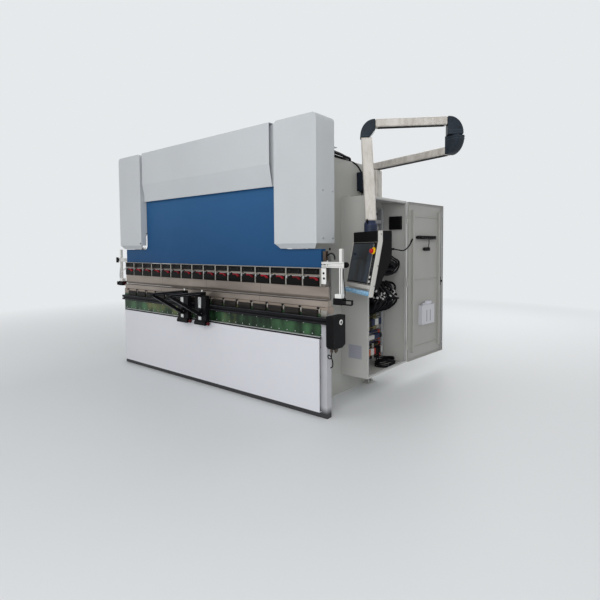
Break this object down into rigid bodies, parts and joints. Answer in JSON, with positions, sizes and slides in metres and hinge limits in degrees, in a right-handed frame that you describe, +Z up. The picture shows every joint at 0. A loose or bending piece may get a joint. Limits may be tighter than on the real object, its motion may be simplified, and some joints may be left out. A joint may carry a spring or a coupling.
{
  "type": "press brake",
  "caption": "Hydraulic press brake with a rising ram over a V die, hooded cylinders, sheet supports, an open side cabinet and a pendant console on a swinging arm.",
  "frame": {"origin": "floor level, under the middle of the whole object's floor plan", "axes": "+X along the bending length to the operator's right, +Y from the operator into the machine, +Z up"},
  "size_m": [4.4794, 2.8948, 2.68],
  "materials": {
    "frame_grey": "satin paint",
    "cover_grey": "satin paint on sheet",
    "ram_blue": "semi-gloss paint",
    "beam_green": "semi-gloss paint",
    "ground_steel": "ground",
    "black_steel": "black oxide and black paint",
    "aluminium": "anodised",
    "black_plastic": "matte",
    "arm_cream": "paint under clear film",
    "grab_blue": "smooth",
    "stop_red": "smooth"
  },
  "bodies": {
    "frame": {"side_frame_left": "frame_grey", "side_frame_right": "frame_grey", "lower_beam": "beam_green", "apron_cover": "cover_grey", "front_rail": "black_steel", "crowning_drive_box": "black_steel", "die_holder": "ground_steel", "bottom_die": "ground_steel", "cylinder_hood_left": "cover_grey", "cylinder_hood_right": "cover_grey", "top_fascia": "cover_grey", "cylinder_left": "ground_steel", "cylinder_right": "ground_steel", "oil_tank": "frame_grey", "pump_motor": "black_steel", "valve_block": "black_steel", "rear_tie": "frame_grey", "gauge_rail_left": "frame_grey", "gauge_rail_right": "frame_grey", "gauge_beam": "frame_grey", "gauge_finger_left": "ground_steel", "gauge_finger_right": "ground_steel", "cabinet_shell": "frame_grey", "mounting_plate": "frame_grey", "contactor_row": "black_plastic", "drive_unit": "black_plastic", "relay_row": "black_plastic", "supply_unit": "black_plastic", "terminal_row": "black_plastic", "controller_unit": "black_plastic", "cabinet_fan": "black_plastic", "junction_box": "black_plastic", "arm_post": "arm_cream"},
    "ram": {"ram_plate": "ram_blue", "upper_clamps": "black_steel", "punch": "ground_steel", "piston_rod_left": "ground_steel", "piston_rod_right": "ground_steel", "guard_bracket_left": "aluminium", "guard_bracket_right": "aluminium", "guard_emitter_left": "black_plastic", "guard_emitter_right": "black_plastic"},
    "support_1": {"support_carriage_1": "black_steel", "support_arm_1": "black_steel"},
    "support_2": {"support_carriage_2": "black_steel", "support_arm_2": "black_steel"},
    "door": {"cabinet_door": "frame_grey", "document_pocket": "frame_grey"},
    "lower_arm": {"lower_arm": "arm_cream", "lower_elbow": "black_plastic"},
    "upper_arm": {"upper_elbow": "black_plastic", "upper_arm": "arm_cream", "drop_elbow": "black_plastic", "drop_tube": "arm_cream"},
    "console": {"console_coupling": "black_plastic", "console_housing": "black_plastic", "console_bar_left": "aluminium", "console_bar_right": "aluminium", "grab_bar": "grab_blue", "stop_button": "stop_red"}
  },
  "joints": [
    {"name": "ram_slide", "type": "slide", "parent": "frame", "child": "ram", "axis": [0, 0, 1], "range_m": [0, 0.15]},
    {"name": "support_slide_1", "type": "slide", "parent": "frame", "child": "support_1", "axis": [-1, 0, 0], "range_m": [0, 1.1]},
    {"name": "support_slide_2", "type": "slide", "parent": "frame", "child": "support_2", "axis": [1, 0, 0], "range_m": [0, 1.25]},
    {"name": "door_hinge", "type": "hinge", "parent": "frame", "child": "door", "pos_m": [1.33712, 0.60611, 1.1115], "axis": [0, 0, -1], "range_deg": [0, 175]},
    {"name": "lower_arm_swing", "type": "hinge", "parent": "frame", "child": "lower_arm", "pos_m": [1.16282, 0.17611, 2.34], "axis": [0, 0, 1], "range_deg": [0, 60]},
    {"name": "upper_arm_swing", "type": "hinge", "parent": "lower_arm", "child": "upper_arm", "pos_m": [2.14241, -0.129, 2.587], "axis": [0, 0, 1], "range_deg": [0, 110]},
    {"name": "console_swivel", "type": "hinge", "parent": "upper_arm", "child": "console", "pos_m": [1.53041, -0.54756, 1.756], "axis": [0, 0, 1], "range_deg": [0, 90]}
  ]
}
